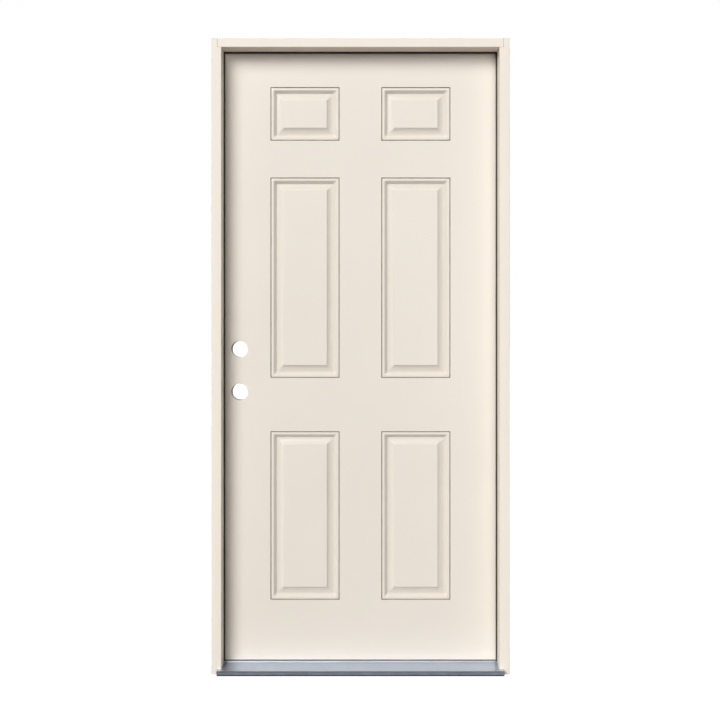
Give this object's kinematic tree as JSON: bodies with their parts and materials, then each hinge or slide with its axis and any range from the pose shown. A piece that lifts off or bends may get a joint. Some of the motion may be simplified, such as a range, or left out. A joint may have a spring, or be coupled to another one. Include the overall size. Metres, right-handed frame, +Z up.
{
  "type": "panelled front door with frame",
  "caption": "Inward-opening six-panel steel entrance door hung in its rabbeted wood frame, with aluminium sill, weatherstrips, butt hinges and lock bores.",
  "frame": {"origin": "centre of the whole part's footprint, on the floor", "axes": "+X to the right seen from outside, towards the hinges; -Y is the outside; +Z up"},
  "size_m": [0.9524, 0.1492, 2.032],
  "materials": {
    "primed_wood": "factory primer, matt",
    "primed_steel": "factory primer, low sheen",
    "mill_aluminium": "mill finish, fine lengthwise extrusion lines",
    "sill_cap": "matt composite",
    "sill_board": "rot-proof composite board",
    "seal_vinyl": "dark brown vinyl, satin",
    "pad_foam": "closed-cell foam",
    "foam": "rigid insulating foam",
    "pine": "bare finger-jointed pine",
    "composite": "moisture-proof composite",
    "zinc_screw": "zinc plated",
    "satin_steel": "satin zinc plated"
  },
  "bodies": {
    "frame": {"strike_jamb": "primed_wood", "hinge_jamb": "primed_wood", "head_jamb": "primed_wood", "sill_substrate": "sill_board", "sill_deck": "mill_aluminium", "sill_cap": "sill_cap", "strike_weatherstrip": "seal_vinyl", "hinge_weatherstrip": "seal_vinyl", "head_weatherstrip": "seal_vinyl", "corner_pads": "pad_foam", "head_joint_screws": "zinc_screw", "sill_joint_screws": "zinc_screw", "frame_leaf_screws": "zinc_screw", "top_hinge_frame_leaf": "satin_steel", "middle_hinge_frame_leaf": "satin_steel", "bottom_hinge_frame_leaf": "satin_steel", "top_hinge_pin": "satin_steel", "middle_hinge_pin": "satin_steel", "bottom_hinge_pin": "satin_steel"},
    "door": {"outer_skin": "primed_steel", "inner_skin": "primed_steel", "foam_core": "foam", "lock_stile": "pine", "hinge_stile": "pine", "lock_block": "pine", "top_rail": "pine", "bottom_rail": "composite", "door_sweep": "seal_vinyl", "top_hinge_door_leaf": "satin_steel", "middle_hinge_door_leaf": "satin_steel", "bottom_hinge_door_leaf": "satin_steel", "door_leaf_screws": "zinc_screw"}
  },
  "joints": [
    {"name": "door_swing", "type": "hinge", "parent": "frame", "child": "door", "pos_m": [0.45561, 0.06925, 1.069], "axis": [0, 0, -1], "range_deg": [0, 170]}
  ]
}
